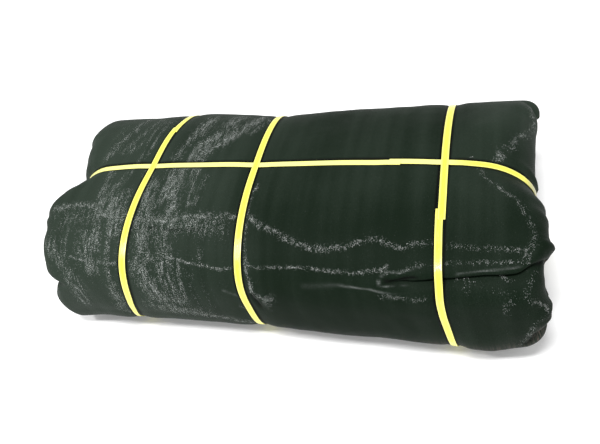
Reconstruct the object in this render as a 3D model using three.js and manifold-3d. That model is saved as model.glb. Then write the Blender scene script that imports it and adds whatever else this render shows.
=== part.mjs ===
import * as THREE from 'three';
import Module from 'manifold-3d';

const wasm = await Module();
wasm.setup();

// A bale of windbreak netting, wound flat round itself and tied with four plastic straps.
// Millimetres, X along the bale, Y to the back, Z up, the floor at Z = 0.

// Straps
const STRAP_WIDTH = 16;
const STRAP_THICK = 1;
const SEAT = 0.4;
const LAP_LONG = 30;
const LAP_RISE = 0.9;
const LAP_SLIDE = 2.3;
const LAP_FADE = 170;
const LONG_LAP_X = 238;

// Cross-section of the netting: a flattened round, squarer below than above
const MID_Y = -13;
const MID_Z = 132;
const CROWN = 2.45;
const BELLY = 3.7;
const SAG = 4;
const HALF_DEPTH = { front: 255, back: 281 };
const COLUMN_STEP = 25;

// Soft unevenness of the skin: its height and its two wave lengths along X over 2 pi
const RIPPLE = 1.4;
const RIPPLE_SHORT = 61;
const RIPPLE_LONG = 97;

// Furrows that the straps press into the netting
const FLOOR_HALF = 12;
const RIM_HALF = 17;
const DENT_DEEP = 5;
const DENT_FADE = 17;
const LONG_FURROW = 2.4;
const UNDER_GIRTH = STRAP_THICK + 2 * SEAT;
const UNDER_LONG = 2 * STRAP_THICK + 3 * SEAT;

// Where the long strap runs, and where each girth strap crosses it; lean is its slant in plan and
// foot its step along X low down at the front
const LONG_Y = -8;
const GIRTH = [
  { name: 'strap_girth_left', at: -293, lean: -0.029, foot: -15, lap: 63 },
  { name: 'strap_girth_middle', at: -51, lean: -0.073, foot: 6, lap: 14 },
  { name: 'strap_girth_right', at: 332, lean: -0.055, foot: 15, lap: 117 },
];

// Height below which a foot begins, and how far it takes to come to its full step
const FOOT_TOP = 192;
const FOOT_RUN = 160;

// Reach of the netting to the front and back and its height, along the bale
const BARREL = [
  { at: -560, front: 250, back: 276, top: 264 },
  { at: -430, front: 256, back: 283, top: 268 },
  { at: -293, front: 259, back: 290, top: 269 },
  { at: -170, front: 256, back: 285, top: 269 },
  { at: -51, front: 253, back: 271, top: 268 },
  { at: 80, front: 258, back: 281, top: 269 },
  { at: 210, front: 263, back: 286, top: 269 },
  { at: 332, front: 267, back: 293, top: 270 },
  { at: 440, front: 266, back: 296, top: 270 },
  { at: 560, front: 262, back: 294, top: 268 },
];

// How deep the long strap draws in the top of the bale, which grows towards the ends
const VALLEY_WIDE = 62;
const VALLEY = [
  { at: -520, deep: 16 },
  { at: -420, deep: 9 },
  { at: -300, deep: 2 },
  { at: 0, deep: 1 },
  { at: 330, deep: 3 },
  { at: 420, deep: 9 },
  { at: 500, deep: 17 },
];

// How far each end reaches along X and how softly its edge is rounded.
// turn is the place round the bale in degrees: 0 back, 90 top, 180 front, 270 underside.
const LEFT_END = [
  { turn: 0, reach: -552, round: 40 },
  { turn: 30, reach: -552, round: 40 },
  { turn: 53, reach: -547, round: 40 },
  { turn: 68, reach: -540, round: 52 },
  { turn: 79, reach: -526, round: 80 },
  { turn: 90, reach: -508, round: 100 },
  { turn: 97, reach: -509, round: 78 },
  { turn: 104, reach: -519, round: 58 },
  { turn: 114, reach: -523, round: 44 },
  { turn: 133, reach: -508, round: 40 },
  { turn: 150, reach: -497, round: 40 },
  { turn: 162, reach: -491, round: 34 },
  { turn: 170, reach: -466, round: 26 },
  { turn: 178, reach: -496, round: 30 },
  { turn: 195, reach: -503, round: 36 },
  { turn: 210, reach: -498, round: 36 },
  { turn: 230, reach: -484, round: 38 },
  { turn: 268, reach: -490, round: 44 },
  { turn: 300, reach: -522, round: 40 },
  { turn: 340, reach: -546, round: 40 },
];
const RIGHT_END = [
  { turn: 0, reach: 476, round: 34 },
  { turn: 34, reach: 488, round: 30 },
  { turn: 48, reach: 489, round: 44 },
  { turn: 62, reach: 492, round: 66 },
  { turn: 76, reach: 492, round: 86 },
  { turn: 90, reach: 486, round: 104 },
  { turn: 99, reach: 492, round: 74 },
  { turn: 108, reach: 508, round: 52 },
  { turn: 118, reach: 522, round: 40 },
  { turn: 128, reach: 528, round: 36 },
  { turn: 134, reach: 526, round: 34 },
  { turn: 138.5, reach: 513, round: 30 },
  { turn: 147, reach: 511, round: 34 },
  { turn: 158, reach: 521, round: 38 },
  { turn: 169, reach: 526, round: 38 },
  { turn: 179, reach: 512, round: 28 },
  { turn: 189, reach: 526, round: 32 },
  { turn: 206, reach: 524, round: 36 },
  { turn: 224, reach: 504, round: 38 },
  { turn: 268, reach: 478, round: 44 },
  { turn: 320, reach: 474, round: 40 },
];

// Outermost face of each end beside the long strap, and how far it swells to both sides of it
const LEFT_FACE = { mid: -507, front: -14, back: -34 };
const RIGHT_FACE = { mid: 487, front: 16, back: -10 };

// Wound layers at the ends: share of the way in from the rim, and relief (out is positive)
const LAYERS = [
  { share: 0.1, relief: 0 },
  { share: 0.19, relief: -9 },
  { share: 0.28, relief: 3 },
  { share: 0.38, relief: -8 },
  { share: 0.48, relief: 4 },
  { share: 0.58, relief: -9 },
  { share: 0.69, relief: 3 },
  { share: 0.8, relief: -8 },
  { share: 0.9, relief: 2 },
  { share: 1, relief: -4 },
];
const CORE_HALF = 8;
const ROUNDING = [20, 42, 66, 90];

// The dart at the right front: a flap that folds over the lobe below it.
// out is how far the netting stands out, taut the line of a strap drawn over it.
const DART_PATH = [
  { at: 205, turn: 154.5 },
  { at: 237, turn: 152 },
  { at: 266, turn: 149.5 },
  { at: 333, turn: 146.3 },
  { at: 411, turn: 143.6 },
  { at: 470, turn: 142.4 },
  { at: 492, turn: 138 },
  { at: 515, turn: 134.5 },
];
const DART_HOME = 146;
const DART_PULL = 26;
const DART_OPENS = 110;
const FOLD_FADE = 60;
const DART_PROFILE = [
  { step: -15, out: 0, taut: 0 },
  { step: -8, out: 3.5, taut: 4 },
  { step: -3, out: 6, taut: 6.4 },
  { step: 0.4, out: 3.5, taut: 5.9 },
  { step: 0.9, out: -17, taut: 5.8 },
  { step: 3.2, out: -13, taut: 5.2 },
  { step: 7.5, out: -4, taut: 4.2 },
  { step: 14, out: 2.5, taut: 3 },
  { step: 22, out: 0, taut: 0 },
];

const NETTING = new THREE.MeshStandardMaterial({ name: 'netting', color: 0x2c3a30, roughness: 0.75 });
const STRAP = new THREE.MeshStandardMaterial({ name: 'strap', color: 0xf3ea45, roughness: 0.4 });

const mix = (a, b, w) => a + (b - a) * w;
const clamp01 = (w) => Math.min(1, Math.max(0, w));
const ease = (w) => clamp01(w) ** 2 * (3 - 2 * clamp01(w));
const radians = (d) => (d * Math.PI) / 180;
const degrees = (r) => (r * 180) / Math.PI;

// Reads a table by one of its columns, with a smooth curve through its rows
function readTable(rows, key, place, column) {
  const last = rows.length - 1;
  if (place <= rows[0][key]) return rows[0][column];
  if (place >= rows[last][key]) return rows[last][column];
  const i = rows.findIndex((row) => row[key] > place) - 1;
  const w = (place - rows[i][key]) / (rows[i + 1][key] - rows[i][key]);
  const slope = (j) => {
    const a = rows[Math.max(0, j - 1)];
    const b = rows[Math.min(last, j + 1)];
    return (b[column] - a[column]) / (b[key] - a[key]);
  };
  const run = rows[i + 1][key] - rows[i][key];
  const w2 = w * w;
  const w3 = w2 * w;
  return (
    (2 * w3 - 3 * w2 + 1) * rows[i][column] +
    (w3 - 2 * w2 + w) * run * slope(i) +
    (3 * w2 - 2 * w3) * rows[i + 1][column] +
    (w3 - w2) * run * slope(i + 1)
  );
}

// The same for a table that goes round the bale
function readRound(rows, turn, column) {
  const wrapped = [];
  for (const lap of [-360, 0, 360]) {
    for (const row of rows) wrapped.push({ ...row, turn: row.turn + lap });
  }
  return readTable(wrapped, 'turn', ((turn % 360) + 360) % 360, column);
}

// Share of the half width at which a turn of the cross-section lies, and the other way round
function shareAt(turn) {
  const lean = Math.abs(Math.tan(radians(turn))) ** CROWN;
  return Math.sign(Math.cos(radians(turn))) / (1 + lean) ** (1 / CROWN);
}
const fallAt = (share, power) => clamp01(1 - Math.abs(share) ** power) ** (1 / power);
const turnAt = (share) => degrees(Math.atan2(fallAt(share, CROWN), share));

// Columns of the skin from the back over the top to the front, as turns in degrees.
// They are even apart from the edges of the long furrow and the lips of the dart.
function skinColumns() {
  const halfWidth = (y) => (y > 0 ? HALF_DEPTH.back : HALF_DEPTH.front);
  const fixed = [0, 180];
  for (const edge of [RIM_HALF, FLOOR_HALF, -FLOOR_HALF, -RIM_HALF]) {
    const y = LONG_Y + edge - MID_Y;
    fixed.push(turnAt(y / halfWidth(y)));
  }
  for (const row of DART_PROFILE) fixed.push(DART_HOME + row.step);
  fixed.sort((a, b) => a - b);
  const list = [];
  for (let i = 0; i + 1 < fixed.length; i += 1) {
    const place = (turn) => {
      const share = shareAt(turn);
      return [share * halfWidth(share), MID_Z * fallAt(share, CROWN)];
    };
    let arc = 0;
    for (let k = 0; k < 20; k += 1) {
      const a = place(mix(fixed[i], fixed[i + 1], k / 20));
      const b = place(mix(fixed[i], fixed[i + 1], (k + 1) / 20));
      arc += Math.hypot(a[0] - b[0], a[1] - b[1]);
    }
    const count = Math.max(1, Math.round(arc / COLUMN_STEP));
    for (let k = 0; k < count; k += 1) list.push(mix(fixed[i], fixed[i + 1], k / count));
  }
  list.push(180);
  return list;
}
const COLUMNS = skinColumns();
const HALF = COLUMNS.length - 1;
const AROUND = 2 * HALF;

// Slant in plan of the rows of the skin, taken from the straps
function leanAt(x) {
  const rows = GIRTH.map((strap) => ({ at: strap.at, lean: strap.lean }));
  return readTable([{ at: -480, lean: 0 }, ...rows, { at: 460, lean: 0 }], 'at', x, 'lean');
}

// Step along X of the rows low down at the front, taken from the straps too
function footAt(x) {
  const rows = GIRTH.map((strap) => ({ at: strap.at, foot: strap.foot }));
  return readTable([{ at: -480, foot: 0 }, ...rows, { at: 460, foot: 0 }], 'at', x, 'foot');
}

// Furrow of the nearest girth strap at a station along the bale
function girthDent(x) {
  const reach = Math.min(...GIRTH.map((strap) => Math.abs(x - strap.at)));
  const past = Math.max(0, reach - FLOOR_HALF) / DENT_FADE;
  return DENT_DEEP * Math.exp(-past * past);
}
const underGirth = (x) => GIRTH.some((strap) => Math.abs(x - strap.at) < FLOOR_HALF + 0.5);
const inLongFloor = (y) => Math.abs(y - LONG_Y) < FLOOR_HALF + 1;

// How far the dart is open at a place along the bale
const dartOpen = (x) => ease((x - DART_PATH[0].at) / DART_OPENS);

// Pulls the columns of the upper front so that one of them follows the dart
function pulledTurn(turn, x) {
  const aside = Math.abs(turn - DART_HOME) / DART_PULL;
  const pull = aside < 1 ? (1 - aside * aside) ** 2 : 0;
  const way = readTable(DART_PATH, 'at', x, 'turn') - DART_HOME;
  return turn + way * pull * ease((x - DART_PATH[0].at) / DART_OPENS + 1);
}

// Point of the skin. column runs once round the bale; x is the station at the bale's middle line;
// inset is how far the section is drawn in; withFurrow is off for the girth straps.
function skinPoint(column, x, inset, withFurrow) {
  const index = ((column % AROUND) + AROUND) % AROUND;
  const upper = index <= HALF;
  const home = COLUMNS[upper ? index : AROUND - index];
  const turn = upper ? pulledTurn(home, x) : home;
  const share = shareAt(turn);
  const reach = readTable(BARREL, 'at', x, share > 0 ? 'back' : 'front');
  const high = readTable(BARREL, 'at', x, 'top') - MID_Z;
  const ripple = Math.sin(x / RIPPLE_SHORT + turn / 19) * Math.sin(x / RIPPLE_LONG - turn / 33);
  let drawn = inset + girthDent(x) + RIPPLE * ripple;
  if (upper) {
    const out = readTable(DART_PROFILE, 'step', home - DART_HOME, withFurrow ? 'out' : 'taut');
    drawn -= out * dartOpen(x) * clamp01(1 - inset / FOLD_FADE);
  }
  const y = MID_Y + share * (reach - drawn * Math.abs(share));
  const aside = (y - LONG_Y) / VALLEY_WIDE;
  let z = 0;
  if (upper) {
    const valley = readTable(VALLEY, 'at', x, 'deep') * Math.exp(-aside * aside);
    z = MID_Z + (high - valley) * fallAt(share, CROWN) * (1 - drawn / high);
    if (withFurrow && inLongFloor(y)) z -= LONG_FURROW * clamp01(1 - inset / FOLD_FADE);
  } else {
    const low = MID_Z + SAG;
    const rest = underGirth(x) ? UNDER_GIRTH : 0;
    const bare = withFurrow && inLongFloor(y) ? UNDER_LONG : rest;
    z = Math.max(bare, MID_Z - low * fallAt(share, BELLY) * (1 - drawn / low));
  }
  const foot = footAt(x) * ease((FOOT_TOP - z) / FOOT_RUN) * ease((LONG_Y - y) / FOOT_RUN);
  return [x + leanAt(x) * (y - LONG_Y) + foot, y, z];
}

// Place round the bale of a column, for the tables of the ends
function endTurn(column) {
  const upper = column <= HALF;
  const home = COLUMNS[upper ? column : AROUND - column];
  const share = shareAt(home);
  const y = MID_Y + share * (share > 0 ? HALF_DEPTH.back : HALF_DEPTH.front);
  if (inLongFloor(y)) return upper ? 90 : 268;
  return upper ? home : 360 - degrees(Math.atan2(fallAt(share, BELLY), share));
}

// One row of the skin round an end: angle rounds the edge, share goes in over the face
function endRow(table, face, side, angle, share, relief) {
  const row = [];
  for (let column = 0; column < AROUND; column += 1) {
    const turn = endTurn(column);
    const reach = readRound(table, turn, 'reach');
    const round = readRound(table, turn, 'round');
    const edge = reach - side * round * (1 - Math.sin(radians(angle)));
    const bend = round * (1 - Math.cos(radians(angle)));
    const inset = mix(bend, MID_Z - CORE_HALF, share);
    const point = skinPoint(column, edge, inset, true);
    const away = Math.max(0, Math.abs(point[1] - LONG_Y) - RIM_HALF) / 45;
    const swell = 1 - Math.exp(-away * away);
    const mid = face.mid + (point[1] > LONG_Y ? face.back : face.front) * swell;
    const wave = 0.75 + 0.25 * Math.sin(radians(3 * turn + 70 * share));
    point[0] = mix(edge, mid, ease(share)) + side * relief * swell * wave;
    row.push(point);
  }
  return row;
}

// Rows of the skin between the two ends, closer beside the straps and along the dart
function barrelRows() {
  const stations = [];
  for (const strap of GIRTH) {
    for (const step of [-40, -25, -17, -12, 12, 17, 25, 40]) stations.push(strap.at + step);
  }
  for (const x of [-215, -180, -146, -112, 24, 58, 92, 126, 160, 190, 215, 240, 265]) stations.push(x);
  stations.sort((a, b) => a - b);
  return stations.map((x) => {
    const row = [];
    for (let column = 0; column < AROUND; column += 1) row.push(skinPoint(column, x, 0, true));
    return row;
  });
}

// Rows that carry the skin from the last station to the start of an end's rounding
function bridgeRows(table, face, side, from) {
  const start = endRow(table, face, side, 0, 0, 0);
  const rows = [];
  for (const w of [0.3, 0.62]) {
    rows.push(start.map((goal, column) => skinPoint(column, mix(from, goal[0], w), 0, true)));
  }
  rows.push(start);
  return rows;
}

function endRows(table, face, side, from) {
  const rows = bridgeRows(table, face, side, from);
  for (const angle of ROUNDING) rows.push(endRow(table, face, side, angle, 0, 0));
  for (const layer of LAYERS) rows.push(endRow(table, face, side, 90, layer.share, layer.relief));
  return rows;
}

const LEFT_ROWS = endRows(LEFT_END, LEFT_FACE, -1, GIRTH[0].at - 40).reverse();
const RIGHT_ROWS = endRows(RIGHT_END, RIGHT_FACE, 1, GIRTH[2].at + 40);
const ROWS = [...LEFT_ROWS, ...barrelRows(), ...RIGHT_ROWS];

// The netting: rows joined into a skin, closed at both ends along the middle of the winding
function netting() {
  const points = ROWS.flat();
  const faces = [];
  for (let r = 0; r + 1 < ROWS.length; r += 1) {
    for (let c = 0; c < AROUND; c += 1) {
      const next = (c + 1) % AROUND;
      const a = r * AROUND + c;
      const b = r * AROUND + next;
      const d = (r + 1) * AROUND + c;
      const e = (r + 1) * AROUND + next;
      faces.push([a, b, e], [a, e, d]);
    }
  }
  const close = (base, flip) => {
    for (let c = 0; c < HALF; c += 1) {
      const below = (AROUND - c) % AROUND;
      const nextBelow = AROUND - c - 1;
      const list = [];
      if (c + 1 < HALF) list.push([c, c + 1, nextBelow]);
      else list.push([c, c + 1, below]);
      if (c > 0 && c + 1 < HALF) list.push([c, nextBelow, below]);
      for (const [i, j, k] of list) {
        if (flip) faces.push([base + i, base + k, base + j]);
        else faces.push([base + i, base + j, base + k]);
      }
    }
  };
  close((ROWS.length - 1) * AROUND, false);
  close(0, true);
  return { points, faces };
}

// A strap is swept along a loop. Each stop of the loop gives a place on the netting, the way out
// of it and the way across the strap; stops are read between two rows of the loop too.
function loopStop(loop, place) {
  const count = loop.length;
  const wrapped = ((place % count) + count) % count;
  const i = Math.floor(wrapped);
  const w = wrapped - i;
  const from = loop[i];
  const to = loop[(i + 1) % count];
  const between = (key) => from[key].map((v, axis) => mix(v, to[key][axis], w));
  return { left: between('left'), right: between('right'), out: between('out'), across: from.across };
}

// One piece of strap from start to end of a loop, in rows of the loop.
// slide and lift give its sideways step and its height above the seat at a stop.
function strapPiece(loop, start, end, slide, lift) {
  const stops = [start];
  for (let i = Math.ceil(start + 1e-6); i < end - 1e-6; i += 1) stops.push(i);
  stops.push(end);
  const points = [];
  for (const place of stops) {
    const stop = loopStop(loop, place);
    const low = SEAT + lift(place);
    const corner = (side, height) => {
      return side.map((v, axis) => v + stop.out[axis] * height + stop.across[axis] * slide(place));
    };
    points.push(corner(stop.left, low));
    points.push(corner(stop.right, low));
    points.push(corner(stop.right, low + STRAP_THICK));
    points.push(corner(stop.left, low + STRAP_THICK));
  }
  const faces = [[0, 1, 2], [0, 2, 3]];
  for (let i = 0; i + 1 < stops.length; i += 1) {
    for (let k = 0; k < 4; k += 1) {
      const a = 4 * i + k;
      const b = 4 * i + ((k + 1) % 4);
      faces.push([a, a + 4, b + 4], [a, b + 4, b]);
    }
  }
  const last = 4 * (stops.length - 1);
  faces.push([last, last + 2, last + 1], [last, last + 3, last + 2]);
  return { points, faces };
}

function toManifold(body) {
  const flat = body.faces.flat();
  let volume = 0;
  for (const [a, b, c] of body.faces) {
    const [p, q, r] = [body.points[a], body.points[b], body.points[c]];
    volume += p[0] * (q[1] * r[2] - q[2] * r[1]);
    volume += p[1] * (q[2] * r[0] - q[0] * r[2]);
    volume += p[2] * (q[0] * r[1] - q[1] * r[0]);
  }
  const order = volume > 0 ? flat : body.faces.flatMap(([a, b, c]) => [a, c, b]);
  return new wasm.Manifold(
    new wasm.Mesh({
      numProp: 3,
      vertProperties: new Float32Array(body.points.flat()),
      triVerts: new Uint32Array(order),
    }),
  );
}

// Length along a loop at each of its rows
function loopLengths(loop) {
  const sums = [0];
  for (let i = 0; i < loop.length; i += 1) {
    const a = loop[i].left;
    const b = loop[(i + 1) % loop.length].left;
    sums.push(sums[i] + Math.hypot(a[0] - b[0], a[1] - b[1], a[2] - b[2]));
  }
  return sums;
}
function placeAtLength(loop, sums, length) {
  const total = sums[loop.length];
  const laps = Math.floor(length / total);
  const rest = length - laps * total;
  let i = 0;
  while (i + 1 < loop.length && sums[i + 1] <= rest) i += 1;
  return laps * loop.length + i + (rest - sums[i]) / (sums[i + 1] - sums[i]);
}
function lengthAtPlace(loop, sums, place) {
  const laps = Math.floor(place / loop.length);
  const rest = place - laps * loop.length;
  const i = Math.floor(rest);
  return laps * sums[loop.length] + mix(sums[i], sums[i + 1], rest - i);
}

// A whole strap: one loop whose ends lap over each other, welded, a little out of line
function strapSolid(loop, joint) {
  const sums = loopLengths(loop);
  const total = sums[loop.length];
  const middle = lengthAtPlace(loop, sums, joint);
  const first = middle - LAP_LONG / 2;
  const last = middle + total + LAP_LONG / 2;
  const half = middle + total / 2;
  const past = (place, goal) => Math.abs(lengthAtPlace(loop, sums, place) - goal);
  const lower = strapPiece(
    loop,
    placeAtLength(loop, sums, first),
    placeAtLength(loop, sums, half),
    (place) => -LAP_SLIDE * (1 - ease((past(place, first) - LAP_LONG) / LAP_FADE)),
    () => 0,
  );
  const upper = strapPiece(
    loop,
    placeAtLength(loop, sums, half),
    placeAtLength(loop, sums, last),
    (place) => LAP_SLIDE * (1 - ease((past(place, last) - LAP_LONG) / LAP_FADE)),
    (place) => LAP_RISE * (1 - ease((past(place, last) - LAP_LONG - 2) / 30)),
  );
  return toManifold(lower).add(toManifold(upper));
}

// Ways out of a loop of places that lies in one plane, from its neighbours on both sides
function waysOut(places, u, v, centre) {
  return places.map((here, i) => {
    const a = places[(i + places.length - 1) % places.length];
    const b = places[(i + 1) % places.length];
    const along = [b[u] - a[u], b[v] - a[v]];
    const long = Math.hypot(...along);
    const out = [0, 0, 0];
    out[u] = along[1] / long;
    out[v] = -along[0] / long;
    const outward = out[u] * (here[u] - centre[0]) + out[v] * (here[v] - centre[1]);
    return outward < 0 ? out.map((n) => -n) : out;
  });
}

// Where a rising list passes a value, in rows and parts of a row
function rowAt(list, value) {
  const next = list.findIndex((entry) => entry > value);
  return next - 1 + (value - list[next - 1]) / (list[next] - list[next - 1]);
}

// Girth straps lie on the section of the netting, without the long furrow
function girthStrap(strap) {
  const ring = (step) => {
    const x = strap.at + step;
    return Array.from({ length: AROUND }, (unused, column) => skinPoint(column, x, 0, false));
  };
  const left = ring(-STRAP_WIDTH / 2);
  const right = ring(STRAP_WIDTH / 2);
  const outs = waysOut(ring(0), 1, 2, [MID_Y, MID_Z]);
  const loop = outs.map((out, i) => ({ left: left[i], right: right[i], out, across: [1, 0, 0] }));
  return strapSolid(loop, rowAt(COLUMNS, strap.lap));
}

// The long strap lies in its furrow along the top, both ends and the underside
function longStrap() {
  const floor = [];
  for (let column = 0; column < AROUND; column += 1) {
    if (inLongFloor(ROWS[Math.floor(ROWS.length / 2)][column][1])) floor.push(column);
  }
  const seat = (row, side) => {
    const [a, b] = side > 0 ? [row[floor[0]], row[floor[1]]] : [row[floor[2]], row[floor[3]]];
    return [(a[0] + b[0]) / 2, LONG_Y, (a[2] + b[2]) / 2];
  };
  const path = [...ROWS.map((row) => seat(row, 1)), ...[...ROWS].reverse().map((row) => seat(row, -1))];
  const outs = waysOut(path, 0, 2, [0, MID_Z]);
  const loop = path.map((place, i) => ({
    left: [place[0], LONG_Y - STRAP_WIDTH / 2, place[2]],
    right: [place[0], LONG_Y + STRAP_WIDTH / 2, place[2]],
    out: outs[i],
    across: [0, 1, 0],
  }));
  return strapSolid(loop, rowAt(path.map((place) => place[0]), LONG_LAP_X));
}

function fromManifold(name, solid, material) {
  const mesh = solid.getMesh();
  const geometry = new THREE.BufferGeometry();
  geometry.setAttribute('position', new THREE.BufferAttribute(new Float32Array(mesh.vertProperties), 3));
  geometry.setIndex(new THREE.BufferAttribute(new Uint32Array(mesh.triVerts), 1));
  geometry.computeVertexNormals();
  const part = new THREE.Mesh(geometry, material);
  part.name = name;
  return part;
}

const group = new THREE.Group();
group.name = 'windbreak_netting_bale';
group.add(fromManifold('netting', toManifold(netting()), NETTING));
for (const strap of GIRTH) group.add(fromManifold(strap.name, girthStrap(strap), STRAP));
group.add(fromManifold('strap_long', longStrap(), STRAP));

// The bale stands with the middle of its length and depth over the origin
const box = new THREE.Box3().setFromObject(group);
const centre = box.getCenter(new THREE.Vector3());
for (const part of group.children) part.geometry.translate(-centre.x, -centre.y, -box.min.z);

export default group;
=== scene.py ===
import math

import bpy
import numpy as np
from mathutils import Matrix, Vector, noise


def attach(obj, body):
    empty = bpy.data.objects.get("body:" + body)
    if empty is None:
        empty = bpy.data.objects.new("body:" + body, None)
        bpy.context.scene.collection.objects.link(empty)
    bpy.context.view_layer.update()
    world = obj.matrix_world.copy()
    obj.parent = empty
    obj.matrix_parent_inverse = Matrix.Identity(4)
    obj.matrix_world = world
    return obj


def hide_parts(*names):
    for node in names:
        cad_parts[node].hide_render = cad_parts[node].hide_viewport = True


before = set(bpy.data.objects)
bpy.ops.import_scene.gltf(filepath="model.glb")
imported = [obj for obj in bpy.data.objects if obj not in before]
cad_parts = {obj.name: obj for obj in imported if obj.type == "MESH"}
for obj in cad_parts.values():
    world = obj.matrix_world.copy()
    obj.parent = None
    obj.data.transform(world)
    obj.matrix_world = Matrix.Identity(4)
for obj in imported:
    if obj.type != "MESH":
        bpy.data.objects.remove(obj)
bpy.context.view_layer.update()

# The stand: a wide white studio floor, lit by a pale room and two large soft lamps,
# with the camera up in front of the bale, tipped a little to one side.
CAMERA_PLACE = Vector((0.5387, -1.0183, 1.1309))
CAMERA_AROUND = math.radians(27.383)
CAMERA_DOWN = math.radians(42.297)
CAMERA_TIP = math.radians(-18.197)
FRAME_WIDE = 600
FOCAL = 702.3
SENSOR_WIDE = 36.0
ROOM_LIGHT = 0.68
# name, place, where it points, size and power of each lamp
LAMPS = (
    ("lamp_over", (0.42, -1.55, 4.26), (0.0, 0.0, 0.1), (1.2, 0.8), 162.0),
    ("lamp_left", (-2.05, -1.95, 3.87), (-0.1, 0.0, 0.1), (0.50, 0.45), 75.0),
)
FLOOR_SIZE = 30.0
PAPER_WHITE = (0.93, 0.93, 0.93, 1.0)
PAPER_ROUGH = 0.9
PAPER_SHEEN = 0.1
PAPER_GLOW = 0.12

back = Vector((
    math.sin(CAMERA_AROUND) * math.cos(CAMERA_DOWN),
    -math.cos(CAMERA_AROUND) * math.cos(CAMERA_DOWN),
    math.sin(CAMERA_DOWN),
))
level = Vector((math.cos(CAMERA_AROUND), math.sin(CAMERA_AROUND), 0.0))
upright = back.cross(level)
sideways = math.cos(CAMERA_TIP) * level + math.sin(CAMERA_TIP) * upright
upward = -math.sin(CAMERA_TIP) * level + math.cos(CAMERA_TIP) * upright
camera_data = bpy.data.cameras.new("camera")
camera_data.sensor_width = SENSOR_WIDE
camera_data.lens = FOCAL / FRAME_WIDE * SENSOR_WIDE
camera = bpy.data.objects.new("camera", camera_data)
turn_matrix = Matrix((sideways, upward, back)).transposed().to_4x4()
camera.matrix_world = Matrix.Translation(CAMERA_PLACE) @ turn_matrix
bpy.context.scene.collection.objects.link(camera)
bpy.context.scene.camera = camera
bpy.context.scene.view_settings.view_transform = "Standard"

room = bpy.data.worlds.new("room")
room.use_nodes = True
room.node_tree.nodes["Background"].inputs["Color"].default_value = (1.0, 1.0, 1.0, 1.0)
room.node_tree.nodes["Background"].inputs["Strength"].default_value = ROOM_LIGHT
bpy.context.scene.world = room

for name, place, aim, size, power in LAMPS:
    lamp_data = bpy.data.lights.new(name, "AREA")
    lamp_data.shape = "RECTANGLE"
    lamp_data.size, lamp_data.size_y = size
    lamp_data.energy = power
    lamp = bpy.data.objects.new(name, lamp_data)
    lamp.location = place
    lamp.rotation_euler = (Vector(aim) - Vector(place)).to_track_quat("-Z", "Y").to_euler()
    bpy.context.scene.collection.objects.link(lamp)

bpy.ops.object.select_all(action="DESELECT")
bpy.ops.mesh.primitive_plane_add(size=FLOOR_SIZE, location=(0, 0, 0))
floor = bpy.context.object
floor.name = "floor"
paper = bpy.data.materials.new("white_paper")
paper.use_nodes = True
paper_shader = paper.node_tree.nodes["Principled BSDF"]
paper_shader.inputs["Base Color"].default_value = PAPER_WHITE
paper_shader.inputs["Roughness"].default_value = PAPER_ROUGH
paper_shader.inputs["Specular IOR Level"].default_value = PAPER_SHEEN
paper_shader.inputs["Emission Color"].default_value = (1.0, 1.0, 1.0, 1.0)
paper_shader.inputs["Emission Strength"].default_value = PAPER_GLOW
floor.data.materials.append(paper)

# The netting: one long length of dark green woven tape netting, folded and wound flat round
# itself. Its turns show as edges at the two ends, the long strap pinches both ends to a waist,
# and at the right front the cloth folds over itself in a dart. All sizes here are in mm.
FRAME_SHIFT = (12.593, -2.092)
MM_IN_METRE = 1000.0
WELD = 2e-6
MID_Y = -13.0
MID_Z = 132.0
HALF_FRONT = 255.0
HALF_BACK = 281.0
# How full the section is above and below, from an oval at 2 towards a box
CROWN = 2.45
BELLY = 3.7
BELLY_LEFT = {"more": 1.1, "from": -360.0, "run": 120.0}
SAG = 4.0
RIPPLE = {"deep": 1.4, "short": 61.0, "long": 97.0, "turn": 19.0, "turn_back": 33.0}
# The straps press a dent with a flat floor into the netting, and a furrow under the long one
STRAP_WIDTH = 13.6
STRAP_THICK = 0.9
SEAT = 0.35
DENT_FLAT = 7.6
DENT_TAUT = 12.0
DENT_DEEP = 3.2
DENT_FADE = 15.0
LONG_FURROW = 2.4
FURROW_FADE = 6.0
LONG_Y = -8.0
UNDER_GIRTH = 1.8
UNDER_LONG = 3.2
UNDER_FADE = 5.0
FOOT_TOP = 192.0
FOOT_RUN = 160.0
# Where each girth strap crosses the long one, its slant in plan, and how far its foot steps aside
GIRTH_AT = (-293.0, -51.0, 332.0)
GIRTH_LEAN = (-0.029, -0.073, -0.055)
GIRTH_FOOT = (-21.0, 9.0, 15.0)
STRAPS_END = (-480.0, 460.0)
# Reach to the front and back and height of the body, at stations along it
BARREL = {
    "at": (-560, -430, -293, -170, -51, 80, 210, 332, 440, 560),
    "front": (250, 256, 259, 256, 253, 258, 263, 267, 266, 262),
    "back": (276, 283, 290, 285, 271, 281, 286, 293, 296, 294),
    "top": (264, 268, 269, 269, 268, 269, 269, 270, 270, 268),
}
# The long strap draws in the top, ever more towards the ends
VALLEY_WIDE = 62.0
VALLEY = {"at": (-520, -420, -300, 0, 330, 420, 500), "deep": (16, 9, 2, 1, 3, 14, 21)}
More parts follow.
